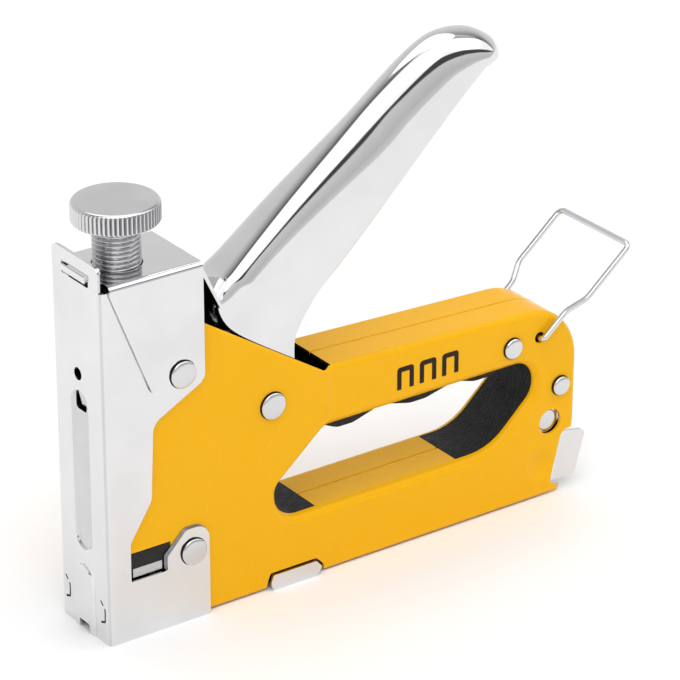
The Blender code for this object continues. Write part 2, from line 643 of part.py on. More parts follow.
def catch_arm(name, side, chrome):
    """A spring leaf beside the end block, with the button behind the shell's hole and a flared wing."""
    face, sheet = CATCH_FACE, 0.8
    leaf = [(148.0, face - sheet), (171.0, face - sheet), (174.0, face - sheet + 0.9), (181.0, 13.6),
            (180.7, 14.5), (173.6, face + 1.0), (170.6, face), (148.0, face)]
    plan = [(x, side * y) for x, y in leaf]
    arm = slab(name, [plan], 2.0, 32.0, "Z", chrome)
    shape = filleted([
        (147.0, 8.0, 0), (166.0, 8.0, 0), (168.2, 3.6, 1.5), (176.5, 4.6, 3), (179.9, 20.9, 1.5),
        (171.2, 20.9, 1.0), (171.2, 31.0, 3), (162.0, 31.0, 3), (162.0, 19.4, 1), (147.0, 19.4, 0),
    ])
    return operate(arm, "INTERSECT", [slab(name + "_shape", [shape], -20, 20)])


# ---------------------------------------------------------------- bail

def wire_bail(steel):
    along = Vector((math.cos(BAIL_LEAN), 0, math.sin(BAIL_LEAN)))
    foot = Vector((BAIL_HOLE[0], 0, BAIL_HOLE[1]))
    near, wide = SHELL_HALF_WIDTH + BAIL_WIRE + GAP, 17.4

    def at(distance, y):
        return tuple(foot + along * distance + Vector((0, y, 0)))

    half = [(*at(0, 9.0), 0), (*at(0, near), 1.4), (*at(11.6, near), 6.0), (*at(18.4, wide), 6.0),
            (*at(BAIL_LENGTH, wide), 2.2)]
    other = [(x, -y, z, r) for x, y, z, r in reversed(half)]
    points = filleted(half + other, closed=False, step=math.radians(30))
    return wire("wire_bail", points, BAIL_WIRE, steel, resolution=2)


# ---------------------------------------------------------------- assembly

def smooth_round_pieces():
    for obj in PARTS.objects:
        if obj.type == "MESH":
            obj.data.shade_smooth()
            obj.data.set_sharp_from_angle(angle=math.radians(35))


def build():
    yellow = material("yellow_enamel", (0.87, 0.45, 0.0), 0.35, 0.0)
    chrome = material("chrome_plate", (0.82, 0.82, 0.83), 0.12, 1.0)
    rivet_steel = material("rivet_steel", (0.75, 0.75, 0.76), 0.2, 1.0)
    steel = material("plain_steel", (0.55, 0.55, 0.57), 0.35, 1.0)
    hard_steel = material("hardened_steel", (0.35, 0.35, 0.38), 0.3, 1.0)
    spring_steel = material("spring_steel", (0.5, 0.5, 0.52), 0.3, 1.0)
    rubber = material("black_rubber", (0.02, 0.02, 0.02), 0.7, 0.0)
    black = material("black_plastic", (0.015, 0.015, 0.015), 0.45, 0.0)

    body_shells(yellow)
    front_housing(chrome)
    top_cap(chrome)
    grip_liner(rubber)
    rivets_and_sleeves(rivet_steel, steel)
    lever_return_spring(spring_steel)

    plunger, blade = striker(steel, hard_steel, rubber, black)
    carry(axis_empty("striker_axis", STRIKER_X, 0, 35.0), plunger, blade)
    knob, seat = adjuster(chrome, steel)
    screw = axis_empty("screw_axis", STRIKER_X, 0, SHANK_LOW)
    carry(screw, knob, seat)

    handle, arm, pin = lever(chrome, steel)
    carry(axis_empty("lever_axis", LEVER_PIVOT[0], 0, LEVER_PIVOT[1]), handle, arm, pin)

    rail, end_block, guide, spring, follower = magazine(chrome, steel, black, spring_steel)
    drawer = axis_empty("drawer_axis", 5.0, 0, 5.6)
    carry(drawer, rail, end_block, guide, spring, follower)
    for name, side in (("left_catch_arm", -1), ("right_catch_arm", 1)):
        arm = catch_arm(name, side, chrome)
        hinge = axis_empty(name + "_axis", CATCH_HINGE_X, side * (CATCH_FACE - 0.4), 13.7)
        carry(hinge, arm)

    carry(axis_empty("bail_axis", BAIL_HOLE[0], 0, BAIL_HOLE[1]), wire_bail(rivet_steel))
    smooth_round_pieces()


clear_scene()
PARTS = new_collection("staple_gun")
CUTTERS = new_collection("cutters")
build()
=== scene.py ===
"""The looks of the hand staple gun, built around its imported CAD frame.

Design sizes are millimetres: x from the front face of the nose, y from the middle plane, z from the
ground. The frame's origin is the middle of the overall length, so x moves by CENTRE_X.
"""

import json
import math

import bmesh
import bpy
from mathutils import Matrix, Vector


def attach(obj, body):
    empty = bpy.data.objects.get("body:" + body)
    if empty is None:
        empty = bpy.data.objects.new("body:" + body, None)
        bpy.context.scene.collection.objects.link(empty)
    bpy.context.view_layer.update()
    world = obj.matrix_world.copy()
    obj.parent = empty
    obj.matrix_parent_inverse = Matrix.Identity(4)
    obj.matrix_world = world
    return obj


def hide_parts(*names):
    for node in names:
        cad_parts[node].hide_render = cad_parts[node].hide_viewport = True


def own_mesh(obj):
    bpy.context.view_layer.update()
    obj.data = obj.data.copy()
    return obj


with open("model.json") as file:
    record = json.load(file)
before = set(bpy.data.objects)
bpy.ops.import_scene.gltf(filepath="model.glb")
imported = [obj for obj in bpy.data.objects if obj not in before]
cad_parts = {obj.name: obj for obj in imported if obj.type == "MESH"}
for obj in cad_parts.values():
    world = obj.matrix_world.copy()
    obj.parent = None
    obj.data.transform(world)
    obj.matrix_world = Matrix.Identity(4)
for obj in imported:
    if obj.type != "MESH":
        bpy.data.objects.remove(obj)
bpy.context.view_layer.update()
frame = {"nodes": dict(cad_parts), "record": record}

MM = 0.001
CENTRE_X = 96.4
GAP = 0.3

SHELL_HALF_WIDTH = 12.4
SHELL_SHEET = 1.0
SHELL_BEND = 1.9
RIM_BEND = 2.7                  # rounding of the shell round the hand opening
LINER_DEPTH = 0.85              # the liner is let into the opening's wall by this much
LINER_HALF_WIDTH = 9.6
SEAM = 0.18
ARM_STEP = 0.55                 # the grip arm is pressed in from the fan by this much on each side
ARM_STEP_X = (79.4, 82.0)       # where the step rises from the fan to the arm
ARM_STEP_Z = (23.0, 47.0)
MARK_FOOT = (106.4, 54.2)       # lower front corner of the first printed staple

NOSE_HALF_WIDTH = 13.55
NOSE_SHEET = 0.8
NOSE_BEND = 1.5
NOSE_WALL_TOP = 115.2
PLATE_HALF_WIDTH = 12.6
PLATE_TOP = 123.0
PROUD = 1.0
GROOVE_DEPTH = 0.9
GROOVE = (27.0, 80.0, 5.0)      # heights and half width of the long groove
ARCH_PROUD = 0.6
ARCH = (22.3, 5.4)              # height and half width of the arch over the staple channel
SLOT = (7.3, 115.1, 118.9)      # half width and heights of the slot in the nose plate
CAP_HALF_WIDTH = 14.55
CAP_TOP = 117.2

STRIKER_X = 14.4
KNOB_RADIUS = 13.25
KNOB_LOW = 130.3
KNOB_HIGH = 137.0
KNURLS = 60
KNURL_DEPTH = 0.6
KNURL_DIPS = (0.0, 0.0, 0.15, 1.0, 0.15)      # one tooth and its valley, as shares of the depth
SHANK_RADIUS = 7.3
SHANK_LOW = 100.9
THREAD_PITCH = 1.5
THREAD_DEPTH = 0.75
SPRING_HEIGHTS = (57.3, 97.7)
FOLLOWER_RUN = (27.0, 146.4)    # the follower spring's two ends
FOLLOWER_Z = 5.6

LEVER_PIVOT = (59.8, 62.8)
LEVER_SHEET = 1.2
PIVOT_SHAFT = 3.0
RIVET_SHAFT = 2.3
CAP_RIVET = (26.8, 83.4)
NOSE_RIVET = (30.0, 23.2)
REAR_TOP_RIVET = (151.2, 56.3)
REAR_MID_RIVET = (170.6, 38.1)
CATCH_BUTTON = (166.7, 26.3)
CATCH_FACE = 10.85
CATCH_DOME = (3.7, 0.42)        # radius and rise of the button
BAIL_HOLE = (162.0, 57.1)
BAIL_WIRE = 1.0
BAIL_LENGTH = 40.3
BAIL_HALF_WIDTH = 17.4
BAIL_LEAN = math.radians(40.2)

# Outlines: (x, z, corner radius), counterclockwise
BODY_OUTLINE = [
    (2.6, 0.2, 0.3), (171.2, 0.2, 1.0), (176.6, 23.0, 12.0),
    (178.0, 65.8, 20.0), (81.2, 69.7, 0.6), (79.6, 68.6, 1.0),
    (34.6, 97.6, 1.0), (30.0, 106.0, 3.0), (2.6, 106.0, 3.0),
]
HAND_OPENING = [
    (61.8, 22.4, 8.5), (144.0, 22.4, 20.0), (160.9, 38.2, 8.0),
    (160.6, 49.6, 7.5), (79.5, 49.6, 5.0), (61.2, 34.0, 5.0),
]
NOSE_OUTLINE = [
    (-3.0, 0.0, 0.0), (35.8, 0.0, 0.6), (35.8, 31.0, 4.8), (27.6, 31.0, 2.6),
    (20.8, 24.0, 0.8), (20.8, 19.5, 0.6), (8.0, 19.5, 0.6), (8.0, 32.4, 3.0),
    (15.7, 44.6, 5.0), (16.9, 69.4, 5.0), (34.0, 78.4, 0.0),
    (34.0, 117.0, 0.0), (-3.0, 117.0, 0.0),
]
CAP_OUTLINE = [
    (2.8, 118.0, 0.0), (2.8, 114.2, 1.0), (16.6, 79.2, 3.0),
    (34.6, 79.0, 2.6), (34.6, 118.0, 0.0),
]
LINER_OUTLINE = [
    (131.0, 21.55, 0.0), (144.0, 21.55, 20.85), (161.75, 37.85, 8.85), (161.45, 50.45, 8.35),
    (79.2, 50.45, 5.85), (60.3, 34.4, 5.85), (60.95, 21.55, 9.35), (77.0, 21.55, 0.0),
    (77.0, 22.6, 0.2), (61.95, 22.6, 8.3), (61.35, 33.9, 4.9), (79.7, 49.4, 3.0),
    (85.5, 46.8, 6.0), (91.5, 46.8, 6.0), (100.5, 49.4, 8.0), (104.5, 49.4, 8.0),
    (113.0, 47.2, 10.0), (119.0, 47.2, 10.0), (128.5, 49.4, 8.0), (132.0, 49.4, 8.0),
    (138.0, 47.6, 8.0), (144.0, 47.6, 8.0), (151.0, 49.3, 6.0), (160.45, 49.4, 7.3),
    (160.7, 38.3, 7.8), (143.9, 22.6, 19.8), (131.0, 22.6, 0.2),
]
# Rungs of the lever from the pivot to the tip: back x, z, underside x, z, half width, edge curl
LEVER_RUNGS = [
    (53.9, 52.4, 67.0, 52.3, 10.5, 0), (50.4, 58.8, 71.0, 59.2, 10.5, 0),
    (48.6, 68.8, 69.5, 69.7, 10.5, 0), (45.0, 82.6, 69.3, 80.6, 10.5, 0),
    (42.8, 96.4, 71.4, 85.5, 10.5, 0), (46.6, 104.4, 74.4, 90.3, 10.5, 0),
    (52.6, 109.4, 79.0, 95.6, 10.5, 0), (71.3, 124.5, 94.5, 109.1, 10.5, 0),
    (92.7, 140.2, 110.3, 123.9, 10.5, 0), (107.4, 151.2, 122.2, 135.5, 10.5, 0),
    (117.7, 158.2, 130.2, 143.5, 10.5, 8), (125.7, 162.1, 135.8, 149.3, 10.5, 20),
    (132.6, 163.2, 139.5, 152.7, 10.2, 35), (140.0, 162.5, 143.0, 153.4, 9.5, 50),
    (145.4, 160.2, 147.0, 153.6, 7.2, 62), (148.9, 157.6, 149.4, 154.3, 3.9, 70),
]
LEVER_TIP = (150.2, 155.6)
LEVER_BELLY = 3.4
CHEEK_SQUARENESS = 5.0          # the section's exponent: square at the pivot, round along the handle
HANDLE_SQUARENESS = 2.0
HEM_CURL = 28                   # the handle's lower edges curl in at least this much, in degrees


# ---------------------------------------------------------------- outlines

def filleted(corners, step=math.radians(9), closed=True):
    """Points through the corners, each (coordinates..., radius), with an arc at every radius."""
    points = []
    count = len(corners)
    for i, corner in enumerate(corners):
        here, radius = Vector(corner[:-1]), corner[-1]
        if radius == 0 or (not closed and i in (0, count - 1)):
            points.append(here)
            continue
        back = (Vector(corners[i - 1][:-1]) - here).normalized()
        ahead = (Vector(corners[(i + 1) % count][:-1]) - here).normalized()
        half = back.angle(ahead) / 2
        centre = here + (back + ahead).normalized() * (radius / math.sin(half))
        first = here + back * (radius / math.tan(half)) - centre
        last = here + ahead * (radius / math.tan(half)) - centre
        turn = math.pi - 2 * half
        pieces = max(1, math.ceil(turn / step))
        for k in range(pieces + 1):
            share = k / pieces
            arc = first * math.sin((1 - share) * turn) + last * math.sin(share * turn)
            points.append(centre + arc / math.sin(turn))
    return points


def grown(corners, distance, least=0.02):
    """The same outline moved outwards by distance, or inwards where it is negative."""
    moved = []
    count = len(corners)
    for i, (x, z, radius) in enumerate(corners):
        here = Vector((x, z))
        before = (here - Vector(corners[i - 1][:2])).normalized()
        after = (Vector(corners[(i + 1) % count][:2]) - here).normalized()
        out_before = Vector((before.y, -before.x))
        out_after = Vector((after.y, -after.x))
        side = (out_before + out_after).normalized()
        here = here + side * (distance / side.dot(out_after))
        convex = before.x * after.y - before.y * after.x > 0
        radius = radius + distance if convex else radius - distance
        moved.append((here.x, here.y, max(radius, least)))
    return moved


def smooth_step(value, low, high):
    share = min(max((value - low) / (high - low), 0.0), 1.0)
    return share * share * (3 - 2 * share)


# ---------------------------------------------------------------- meshes

def at(x, y, z):
    return Vector(((x - CENTRE_X) * MM, y * MM, z * MM))


def new_object(name, points, faces):
    """A mesh object with its faces pointing outwards. Points are in design millimetres."""
    mesh = bpy.data.meshes.new(name)
    mesh.from_pydata([at(*p) for p in points], [], faces)
    work = bmesh.new()
    work.from_mesh(mesh)
    bmesh.ops.remove_doubles(work, verts=work.verts, dist=0.001 * MM)
    bmesh.ops.recalc_face_normals(work, faces=work.faces)
    work.to_mesh(mesh)
    work.free()
    obj = bpy.data.objects.new(name, mesh)
    bpy.context.scene.collection.objects.link(obj)
    return obj


def grid_faces(rows, columns, wrap=False, start=0):
    faces = []
    for i in range(rows - 1):
        for j in range(columns if wrap else columns - 1):
            a, b = start + i * columns + j, start + i * columns + (j + 1) % columns
            faces.append((a, b, b + columns, a + columns))
    return faces


def loft(name, rings):
    """A closed solid through closed rings of equal length."""
    count = len(rings[0])
    points = [p for ring in rings for p in ring]
    faces = grid_faces(len(rings), count, wrap=True)
    faces.append(tuple(range(count)))
    faces.append(tuple((len(rings) - 1) * count + j for j in range(count)))
    return new_object(name, points, faces)


def bend_sections(low, high, bends, steps=5):
    """(depth, distance) pairs of a slab whose two rims are rounded, or flared if the bend is negative."""
    near, far = [], []
    for k in range(steps + 1):
        turn = k / steps * math.pi / 2
        sunk, short = 1 - math.cos(turn), 1 - math.sin(turn)
        near.append((low + abs(bends[0]) * sunk, -bends[0] * short))
        far.append((high - abs(bends[1]) * sunk, -bends[1] * short))
    return near + far[::-1]


def slab(name, corners, low, high, axis="Y", bends=(0.02, 0.02)):
    """An outline extruded from low to high with rounded rims.

    Along Y an outline is (x, z), along Z it is (x, y), and along X it is (y, z).
    """
    rings = []
    for depth, distance in bend_sections(low, high, bends):
        ring = filleted(grown(corners, distance))
        if axis == "Y":
            rings.append([(p.x, depth, p.y) for p in ring])
        elif axis == "Z":
            rings.append([(p.x, p.y, depth) for p in ring])
        else:
            rings.append([(depth, p.x, p.y) for p in ring])
    return loft(name, rings)


def block(name, x, y, z, bend=0.02):
    corners = [(x[0], z[0], bend), (x[1], z[0], bend), (x[1], z[1], bend), (x[0], z[1], bend)]
    return slab(name, corners, y[0], y[1], "Y", (bend, bend))


def turned(name, profile, centre, axis="Z", sides=48):
    """A closed turned solid. The profile is (radius, height) and starts and ends on the axis."""
    points = []
    for radius, height in profile:
        for j in range(sides):
            angle = 2 * math.pi * j / sides
            u, v = radius * math.cos(angle), radius * math.sin(angle)
            if axis == "Z":
                points.append((centre[0] + u, centre[1] + v, height))
            elif axis == "Y":
                points.append((centre[0] + u, height, centre[1] + v))
            else:
                points.append((height, centre[0] + u, centre[1] + v))
    return new_object(name, points, grid_faces(len(profile), sides, wrap=True))


def rod(name, centre, radius, low, high, axis="Y", sides=40):
    """A closed cylinder between two places along its axis."""
    return turned(name, [(0, low), (radius, low), (radius, high), (0, high)], centre, axis, sides)


def wire(name, points, radius, sides=12):
    """A round wire with flat ends through points in design millimetres."""
    points = [Vector(p) for p in points]
    rings = []
    normal = None
    for i, point in enumerate(points):
        ahead = points[min(i + 1, len(points) - 1)] - points[max(i - 1, 0)]
        ahead.normalize()
        if normal is None:
            normal = ahead.orthogonal().normalized()
        normal = (normal - ahead * normal.dot(ahead)).normalized()
        side = ahead.cross(normal)
        ring = []
        for j in range(sides):
            angle = 2 * math.pi * j / sides
            ring.append(tuple(point + (normal * math.cos(angle) + side * math.sin(angle)) * radius))
        rings.append(ring)
    return loft(name, rings)


def apply_modifiers(obj):
    bpy.context.view_layer.update()
    graph = bpy.context.evaluated_depsgraph_get()
    mesh = bpy.data.meshes.new_from_object(obj.evaluated_get(graph))
    obj.modifiers.clear()
    obj.data = mesh
    return obj


def carve(obj, cutters, kind="DIFFERENCE"):
    """Cuts obj with each cutter. A cut face takes its cutter's material, where it has one."""
    for cutter in cutters:
        change = obj.modifiers.new("carve", "BOOLEAN")
        change.material_mode = "TRANSFER" if cutter.data.materials else "INDEX"
        change.operation = kind
        change.solver = "EXACT"
        change.object = cutter
    apply_modifiers(obj)
    for cutter in cutters:
        bpy.data.objects.remove(cutter)
    return obj


def merge(obj, *others):
    """Puts the other objects' meshes into obj without cutting them."""
    work = bmesh.new()
    for source in (obj, *others):
        work.from_mesh(source.data)
    work.to_mesh(obj.data)
    work.free()
    for other in others:
        bpy.data.objects.remove(other)
    return obj


def smooth(obj, angle=32):
    obj.data.shade_smooth()
    obj.data.set_sharp_from_angle(angle=math.radians(angle))
    weighted = obj.modifiers.new("flat_faces_flat", "WEIGHTED_NORMAL")
    weighted.keep_sharp = True
    return obj


def second_finish(obj, first, second, chosen):
    """Paints obj with first, and with second where chosen(x, y, z) picks a face by its middle."""
    obj.data.materials.clear()
    obj.data.materials.append(first)
    obj.data.materials.append(second)
    for face in obj.data.polygons:
        x, y, z = face.center / MM
        face.material_index = int(chosen(x + CENTRE_X, y, z))


def fit_out(obj, slot, body, nodes=(), angle=32):
    """Shades the piece, paints it if it has no paint yet, and puts it on its body.

    It stands in for the CAD nodes that are named. A piece without any is added by this script alone.
    """
    smooth(obj, angle)
    if not obj.data.materials:
        obj.data.materials.append(PAINTS[slot])
    if nodes:
        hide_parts(*nodes)
    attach(obj, body)
    return obj


# ---------------------------------------------------------------- materials

NOISE_SPAN = (0.3, 0.7)         # nearly all of a noise texture's values lie between these


class Nodes:
    """A material's node tree with short calls to add to it."""

    def __init__(self, name, colour, roughness, metallic=0.0):
        self.material = bpy.data.materials.new(name)
        self.material.use_nodes = True
        self.tree = self.material.node_tree
        self.shader = self.tree.nodes["Principled BSDF"]
        self.shader.inputs["Base Color"].default_value = (*colour, 1)
        self.shader.inputs["Roughness"].default_value = roughness
        self.shader.inputs["Metallic"].default_value = metallic
        self.place = self.tree.nodes.new("ShaderNodeTexCoord").outputs["Object"]

    def link(self, out, to):
        self.tree.links.new(out, to)

    def stretched(self, scale):
        mapping = self.tree.nodes.new("ShaderNodeMapping")
        mapping.inputs["Scale"].default_value = scale
        self.link(self.place, mapping.inputs["Vector"])
        return mapping.outputs["Vector"]

    def noise(self, scale, detail=2.0, place=None):
        noise = self.tree.nodes.new("ShaderNodeTexNoise")
        noise.inputs["Scale"].default_value = scale
        noise.inputs["Detail"].default_value = detail
        self.link(place or self.place, noise.inputs["Vector"])
        return noise.outputs["Fac"]

    def grain(self, scale):
        cells = self.tree.nodes.new("ShaderNodeTexVoronoi")
        cells.feature = "DISTANCE_TO_EDGE"
        cells.inputs["Scale"].default_value = scale
        self.link(self.place, cells.inputs["Vector"])
        return cells.outputs["Distance"]

    def ranged(self, value, low, high, span=NOISE_SPAN):
        ramp = self.tree.nodes.new("ShaderNodeMapRange")
        ramp.inputs["From Min"].default_value = span[0]
        ramp.inputs["From Max"].default_value = span[1]
        ramp.inputs["To Min"].default_value = low
        ramp.inputs["To Max"].default_value = high
        self.link(value, ramp.inputs["Value"])
        return ramp.outputs["Result"]

    def vary_colour(self, value, dark, light):
        ramp = self.tree.nodes.new("ShaderNodeValToRGB")
        for stop, position, colour in zip(ramp.color_ramp.elements, NOISE_SPAN, (dark, light)):
            stop.position = position
            stop.color = (*colour, 1)
        self.link(value, ramp.inputs["Fac"])
        self.link(ramp.outputs["Color"], self.shader.inputs["Base Color"])

    def vary_roughness(self, value, low, high):
        self.link(self.ranged(value, low, high), self.shader.inputs["Roughness"])

    def bump(self, value, height, strength):
        bump = self.tree.nodes.new("ShaderNodeBump")
        bump.inputs["Distance"].default_value = height
        bump.inputs["Strength"].default_value = strength
        self.link(value, bump.inputs["Height"])
        self.link(bump.outputs["Normal"], self.shader.inputs["Normal"])


def enamel():
    """Gloss yellow stove enamel with a faint orange peel."""
    paint = Nodes("yellow_enamel", (0.85, 0.43, 0.0), 0.3)
    paint.vary_colour(paint.noise(14), (0.84, 0.424, 0.0), (0.87, 0.442, 0.0))
    paint.vary_roughness(paint.noise(40), 0.24, 0.3)
    paint.bump(paint.noise(420), 0.00001, 0.12)
    paint.shader.inputs["Specular IOR Level"].default_value = 0.18
    return paint.material


def plating(name, dark, light, smoothest, roughest):
    """Bright plating: faint clouding, with a little polish waviness under it."""
    metal = Nodes(name, light, smoothest, 1.0)
    metal.vary_colour(metal.noise(60), dark, light)
    metal.vary_roughness(metal.noise(140, 4), smoothest, roughest)
    metal.bump(metal.noise(45), 0.00001, 0.15)
    return metal.material


def steel(name, dark, light, roughness):
    """Ground or drawn steel with fine lines along the tool."""
    metal = Nodes(name, light, roughness, 1.0)
    lines = metal.noise(60, 5, metal.stretched((1, 30, 30)))
    metal.vary_colour(lines, dark, light)
    metal.vary_roughness(lines, roughness - 0.06, roughness + 0.1)
    metal.bump(lines, 0.00002, 0.4)
    return metal.material


def rubber():
    """Black moulded rubber with a leather grain."""
    black = Nodes("black_rubber", (0.008, 0.008, 0.009), 0.6)
    grain = black.grain(950)
    black.vary_colour(black.noise(300, 3), (0.005, 0.005, 0.006), (0.013, 0.013, 0.014))
    black.vary_roughness(black.noise(500), 0.45, 0.62)
    black.bump(black.ranged(grain, 0, 1, (0.0, 0.35)), 0.00022, 0.9)
    black.shader.inputs["Specular IOR Level"].default_value = 0.25
    return black.material


def plastic():
    """Black moulded plastic with a fine even texture."""
    black = Nodes("black_plastic", (0.01, 0.01, 0.01), 0.42)
    black.vary_colour(black.noise(200, 3), (0.007, 0.007, 0.007), (0.015, 0.015, 0.016))
    black.vary_roughness(black.noise(260), 0.36, 0.48)
    black.bump(black.noise(1800, 3), 0.00002, 0.3)
    black.shader.inputs["Specular IOR Level"].default_value = 0.25
    return black.material


def dull(name, dark, light):
    """A plain dark matt finish with a little mottling."""
    matt = Nodes(name, light, 0.7)
    matt.vary_colour(matt.noise(160, 3), dark, light)
    matt.vary_roughness(matt.noise(300), 0.6, 0.8)
    matt.shader.inputs["Specular IOR Level"].default_value = 0.2
    return matt.material


# Painted shade and a painted dark reflection: a darker, rougher chrome for the nose's groove and the strips
# along its front bends.
SHADED_CHROME = plating("chrome_painted_shade", (0.58, 0.58, 0.59), (0.64, 0.64, 0.65), 0.14, 0.2)
# Painted shade: a darker copy of the knob's plating for the valleys of its knurl.
VALLEY_SHADE = plating("knurl_valley_shade", (0.22, 0.22, 0.23), (0.3, 0.3, 0.31), 0.25, 0.35)
# Painted shade: a darker copy of the knob's plating for the threaded shank, standing for the knob's shadow
# on it.
SHANK_SHADE = plating("shank_painted_shade", (0.42, 0.42, 0.43), (0.52, 0.52, 0.53), 0.14, 0.22)
# Painted shade: near black, for the faces inside the shells and for the dark discs under the rivet domes.
DARK_SHADE = dull("painted_dark_shade", (0.008, 0.007, 0.006), (0.016, 0.014, 0.012))
MARK_PAINT = dull("mark_print", (0.020, 0.010, 0.008), (0.030, 0.015, 0.012))
PAINTS = {
    "yellow_enamel": enamel(),
    "chrome_plate": plating("chrome_plate", (0.71, 0.71, 0.72), (0.76, 0.76, 0.77), 0.05, 0.08),
    "rivet_steel": plating("rivet_steel", (0.62, 0.62, 0.63), (0.70, 0.70, 0.71), 0.12, 0.2),
    "plain_steel": steel("plain_steel", (0.50, 0.50, 0.52), (0.62, 0.62, 0.64), 0.3),
    "hardened_steel": steel("hardened_steel", (0.25, 0.25, 0.27), (0.36, 0.36, 0.38), 0.32),
    "spring_steel": steel("spring_steel", (0.38, 0.38, 0.40), (0.5, 0.5, 0.52), 0.28),
    "black_rubber": rubber(),
    "black_plastic": plastic(),
}


# ---------------------------------------------------------------- body

def shell_cutters(side):
    """Everything taken out of a half shell. Cuts from inside leave painted shade, near black, on the faces
    inside.
    """
    inner = SHELL_HALF_WIDTH - SHELL_SHEET
    front = [(-5, -5, 0), (58.5, -5, 0), (58.5, 36, 0), (76, 52.5, 0), (82, 52.5, 0), (82, 90, 0),
             (35, 130, 0), (-5, 130, 0)]
    below = [(50, -5, 0), (190, -5, 0), (190, 33, 0), (163.5, 33, 0), (163.5, 20.9, 0), (50, 20.9, 0)]
    lug = [(56.9, -1, 0), (78.9, -1, 0), (78.4, 3, 1), (75.6, 5.8, 1), (58.6, 5.8, 1), (57.4, 3, 1)]
    wing = [(166.6, 2.6, 3), (182, 2.6, 0), (182, 22.0, 0), (171.5, 22.0, 3)]
    window = [(0, -5, 0), (22.7, -5, 0), (22.7, 28.4, 0), (0, 28.4, 0)]
    walls = sorted((0, side * inner))
    through = sorted((0, side * 20))
    low, high = sorted((side * SEAM, side * SHELL_HALF_WIDTH))
    rims = (-RIM_BEND, -0.3) if side < 0 else (-0.3, -RIM_BEND)
    # the cavity stops short of the hand opening's own wall
    cavity = slab("cavity", grown(BODY_OUTLINE, -SHELL_SHEET), *walls)
    wall = slab("opening_wall", grown(HAND_OPENING, SHELL_SHEET + LINER_DEPTH), -inner, inner, "Y",
                (-RIM_BEND, -RIM_BEND))
    carve(cavity, [wall])
    inside = [cavity, slab("front_space", front, *walls), slab("lower_space", below, *walls)]
    outside = [
        slab("hand_hole", HAND_OPENING, low - 0.001, high + 0.001, "Y", rims),
        slab("liner_pocket", grown(LINER_OUTLINE, 0.05), -LINER_HALF_WIDTH - 0.05, LINER_HALF_WIDTH + 0.05),
        slab("window_relief", window, *through),
        slab("lug_notch", lug, *through),
        slab("wing_notch", wing, *through),
        rod("catch_hole", CATCH_BUTTON, 4.3, *through, sides=48),
        rod("bail_hole", BAIL_HOLE, 1.9, *through, sides=24),
        rod("pivot_hole", LEVER_PIVOT, PIVOT_SHAFT + GAP, *through, sides=24),
        dent_ball(side),
    ]
    # The inside cutters leave painted shade on the faces they cut; the outside ones leave enamel.
    for cutters, paint in ((inside, DARK_SHADE), (outside, PAINTS["yellow_enamel"])):
        for cutter in cutters:
            cutter.data.materials.append(paint)
    return inside + outside


def dent_ball(side):
    """A shallow thumb dent pressed into the shell in front of the wing."""
    radius, depth = 20.0, 0.93
    centre_y = side * (SHELL_HALF_WIDTH + radius - depth)
    profile = []
    for k in range(25):
        turn = math.pi * k / 24
        profile.append((radius * math.sin(turn), centre_y - radius * math.cos(turn)))
    return turned("dent", profile, (163.0, 11.5), "Y", 64)


def press_arm(shell, side):
    """Steps the grip arm in from the fan, on its outer face only."""
    work = bmesh.new()
    work.from_mesh(shell.data)
    # extra edges for the step to bend along
    cuts = [((x, 0, 0), (1, 0, 0)) for x in (79.4, 80.0, 80.7, 81.4, 82.0)]
    cuts += [((0, 0, z), (0, 0, 1)) for z in (23.0, 29.0, 35.0, 41.0, 47.0)]
    for place, normal in cuts:
        everything = work.verts[:] + work.edges[:] + work.faces[:]
        bmesh.ops.bisect_plane(work, geom=everything, dist=1e-7, plane_co=at(*place), plane_no=normal)
    limit = SHELL_HALF_WIDTH - SHELL_BEND - 0.2
    for vert in work.verts:
        x, y, z = vert.co.x / MM + CENTRE_X, vert.co.y / MM, vert.co.z / MM
        share = smooth_step(x, *ARM_STEP_X) * smooth_step(z, *ARM_STEP_Z)
        outer = smooth_step(abs(y), limit, limit + 1.0)
        vert.co.y -= side * ARM_STEP * share * outer * MM
    work.to_mesh(shell.data)
    work.free()


def body_shells():
    """The two pressed half shells, enamelled outside, with painted shade inside."""
    for name, side in (("left_shell_skin", -1), ("right_shell_skin", 1)):
        low, high = sorted((side * SEAM, side * SHELL_HALF_WIDTH))
        bends = (SHELL_BEND, 0.3) if side < 0 else (0.3, SHELL_BEND)
        shell = slab(name, BODY_OUTLINE, low, high, "Y", bends)
        shell.data.materials.append(PAINTS["yellow_enamel"])
        carve(shell, shell_cutters(side))
        press_arm(shell, side)
        fit_out(shell, "yellow_enamel", "root", [name.replace("_shell_skin", "_body_shell")])


def plate_relief(y, z):
    """How far the nose's front stands forward at y, z: the arch forward, the long groove back."""
    arch_top, arch_half = ARCH
    over = math.hypot(y, max(z - (arch_top - arch_half), 0.0)) - arch_half
    arch = smooth_step(-over, -0.1, 0.45) * ARCH_PROUD
    low, high, half = GROOVE
    beyond = max(low + half - z, z - (high - half), 0.0)
    inside = half - math.hypot(y, beyond)
    groove = smooth_step(inside, 0.0, 1.1) * GROOVE_DEPTH
    return arch - groove


